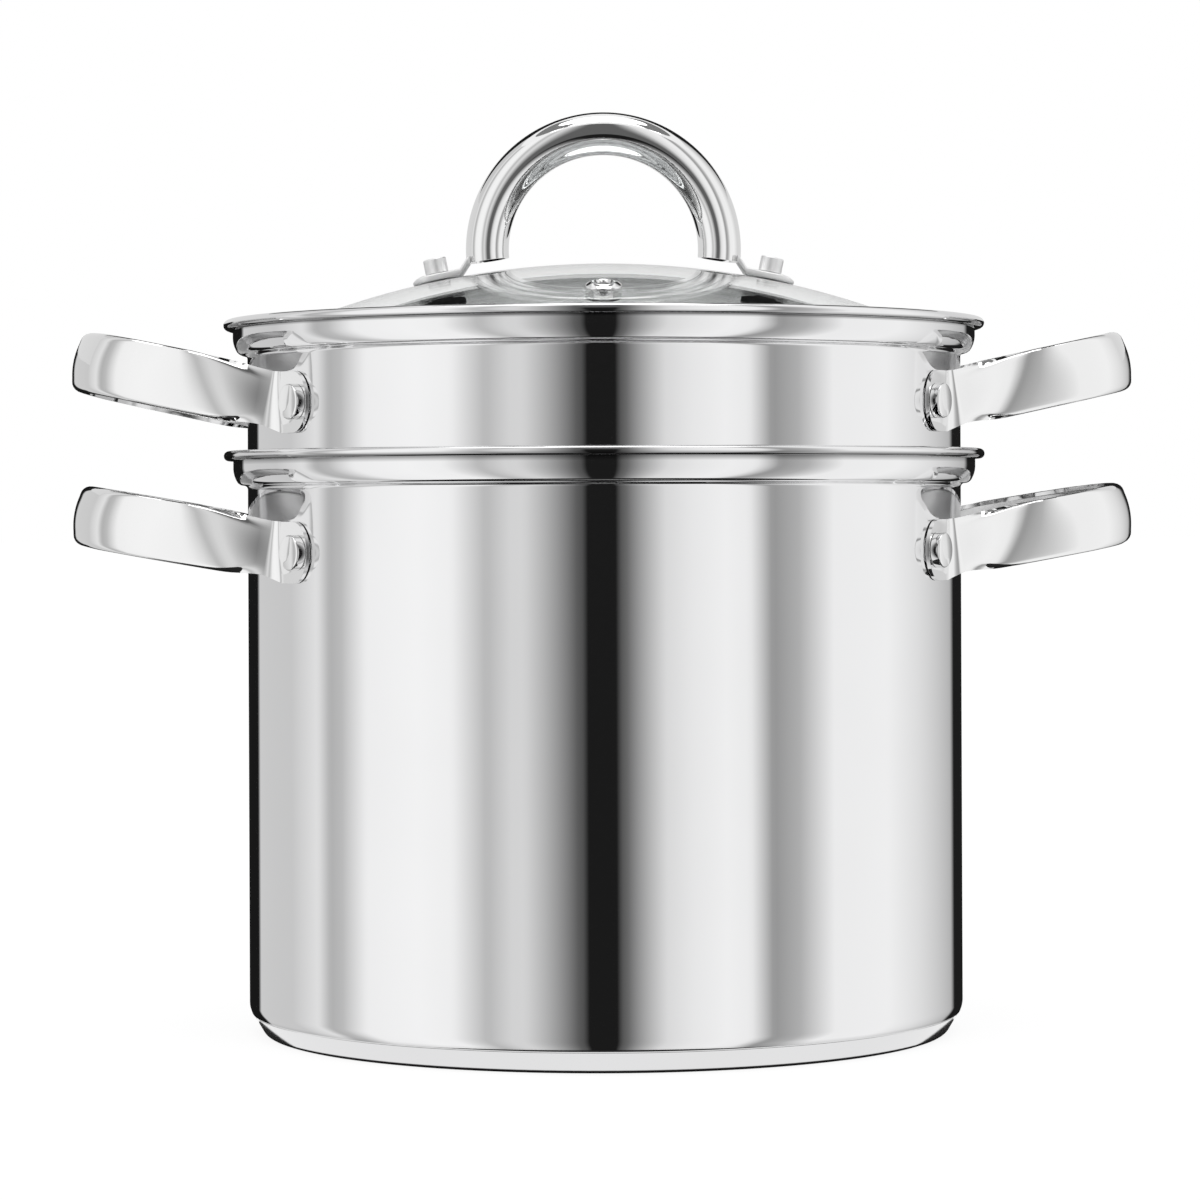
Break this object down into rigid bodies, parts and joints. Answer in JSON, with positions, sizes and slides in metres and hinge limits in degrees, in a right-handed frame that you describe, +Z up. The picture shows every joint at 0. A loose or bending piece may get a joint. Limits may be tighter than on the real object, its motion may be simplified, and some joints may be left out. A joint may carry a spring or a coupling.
{
  "type": "pasta pot with strainer",
  "caption": "Tall steel pasta pot with a layered base, a lift-out perforated strainer insert, riveted strap handles and a domed glass lid with an arched handle.",
  "frame": {"origin": "centre of the underside of the base, where the pot stands", "axes": "+Z up along the pot's axis, X along the two pairs of side handles, -Y to the side with the lid's steam vent"},
  "size_m": [0.3292, 0.2362, 0.2854],
  "materials": {
    "polished_steel": "polished stainless steel with a faint brushed grain",
    "mirror_steel": "mirror-polished stainless steel",
    "satin_steel": "satin stainless steel",
    "aluminium": "bare aluminium, hidden between the steel layers",
    "glass": "clear toughened glass",
    "silicone": "matte black silicone"
  },
  "bodies": {
    "pot": {"pot_body": "polished_steel", "pot_base_core": "aluminium", "pot_base_cap": "satin_steel", "pot_handle_right": "mirror_steel", "pot_handle_left": "mirror_steel", "pot_rivet_right_front": "satin_steel", "pot_rivet_right_rear": "satin_steel", "pot_rivet_left_front": "satin_steel", "pot_rivet_left_rear": "satin_steel", "pot_spacer_right_front": "satin_steel", "pot_spacer_right_rear": "satin_steel", "pot_spacer_left_front": "satin_steel", "pot_spacer_left_rear": "satin_steel"},
    "strainer": {"strainer_body": "polished_steel", "strainer_handle_right": "mirror_steel", "strainer_handle_left": "mirror_steel", "strainer_rivet_right_front": "satin_steel", "strainer_rivet_right_rear": "satin_steel", "strainer_rivet_left_front": "satin_steel", "strainer_rivet_left_rear": "satin_steel", "strainer_spacer_right_front": "satin_steel", "strainer_spacer_right_rear": "satin_steel", "strainer_spacer_left_front": "satin_steel", "strainer_spacer_left_rear": "satin_steel"},
    "lid": {"lid_glass": "glass", "lid_rim_band": "mirror_steel", "lid_handle": "mirror_steel", "lid_cap_nut_right": "satin_steel", "lid_cap_nut_left": "satin_steel", "lid_screw_right": "satin_steel", "lid_screw_left": "satin_steel", "lid_gasket_right": "silicone", "lid_gasket_left": "silicone", "lid_vent_grommet": "mirror_steel"}
  },
  "joints": [
    {"name": "strainer_lift", "type": "slide", "parent": "pot", "child": "strainer", "axis": [0, 0, 1], "range_m": [0, 0.165]},
    {"name": "lid_lift", "type": "slide", "parent": "strainer", "child": "lid", "axis": [0, 0, 1], "range_m": [0, 0.1]}
  ]
}
